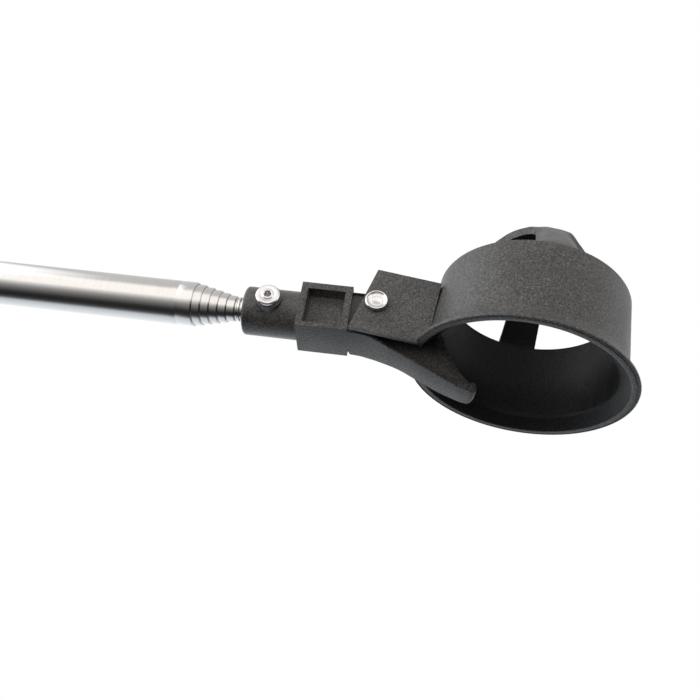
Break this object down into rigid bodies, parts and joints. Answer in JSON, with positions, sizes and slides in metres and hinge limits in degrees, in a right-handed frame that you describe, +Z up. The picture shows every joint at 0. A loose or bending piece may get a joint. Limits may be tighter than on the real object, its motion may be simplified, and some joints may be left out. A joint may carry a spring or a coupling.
{
  "type": "golf ball retriever",
  "caption": "Telescopic stainless pole with a foam grip and a black moulded head: a spring-closed scoop hinged over a fixed hook that holds a golf ball in the cup.",
  "frame": {"origin": "middle of the underside of the bounding box, pole closed", "axes": "+X along the pole from the grip to the head, +Z up with the scoop's mouth facing down, +Y to the left of someone holding the grip"},
  "size_m": [0.4641, 0.0628, 0.0574],
  "materials": {
    "stainless_tube": "polished",
    "black_moulded_plastic": "fine speckled texture",
    "grey_bush_plastic": "satin",
    "grip_foam": "closed-cell foam",
    "nickel_plated_rivet": "satin bright",
    "spring_wire": "drawn wire"
  },
  "bodies": {
    "handle": {"tube_1": "stainless_tube", "grip_foam": "grip_foam", "grip_ferrule": "black_moulded_plastic", "end_cap": "black_moulded_plastic"},
    "section_2": {"tube_2": "stainless_tube", "bush_2": "grey_bush_plastic"},
    "section_3": {"tube_3": "stainless_tube", "bush_3": "grey_bush_plastic"},
    "section_4": {"tube_4": "stainless_tube", "bush_4": "grey_bush_plastic"},
    "section_5": {"tube_5": "stainless_tube", "bush_5": "grey_bush_plastic"},
    "section_6": {"tube_6": "stainless_tube", "bush_6": "grey_bush_plastic"},
    "section_7": {"tube_7": "stainless_tube", "bush_7": "grey_bush_plastic", "hook_arm": "black_moulded_plastic", "socket_screw": "nickel_plated_rivet", "socket_nut": "nickel_plated_rivet", "spring_sleeve": "grey_bush_plastic", "return_spring": "spring_wire"},
    "scoop": {"scoop_cup": "black_moulded_plastic", "hinge_rivet": "nickel_plated_rivet"}
  },
  "joints": [
    {"name": "slide_2", "type": "slide", "parent": "handle", "child": "section_2", "axis": [1, 0, 0], "range_m": [0, 0.3189]},
    {"name": "slide_3", "type": "slide", "parent": "section_2", "child": "section_3", "axis": [1, 0, 0], "range_m": [0, 0.30885]},
    {"name": "slide_4", "type": "slide", "parent": "section_3", "child": "section_4", "axis": [1, 0, 0], "range_m": [0, 0.2988]},
    {"name": "slide_5", "type": "slide", "parent": "section_4", "child": "section_5", "axis": [1, 0, 0], "range_m": [0, 0.28875]},
    {"name": "slide_6", "type": "slide", "parent": "section_5", "child": "section_6", "axis": [1, 0, 0], "range_m": [0, 0.27865]},
    {"name": "slide_7", "type": "slide", "parent": "section_6", "child": "section_7", "axis": [1, 0, 0], "range_m": [0, 0.26855]},
    {"name": "scoop_hinge", "type": "hinge", "parent": "section_7", "child": "scoop", "pos_m": [0.15895, 0, 0.02247], "axis": [0, -1, 0], "range_deg": [0, 42], "stiffness_Nm_per_rad": 0.12, "springref_deg": -34.38, "deforming": ["return_spring"]}
  ]
}
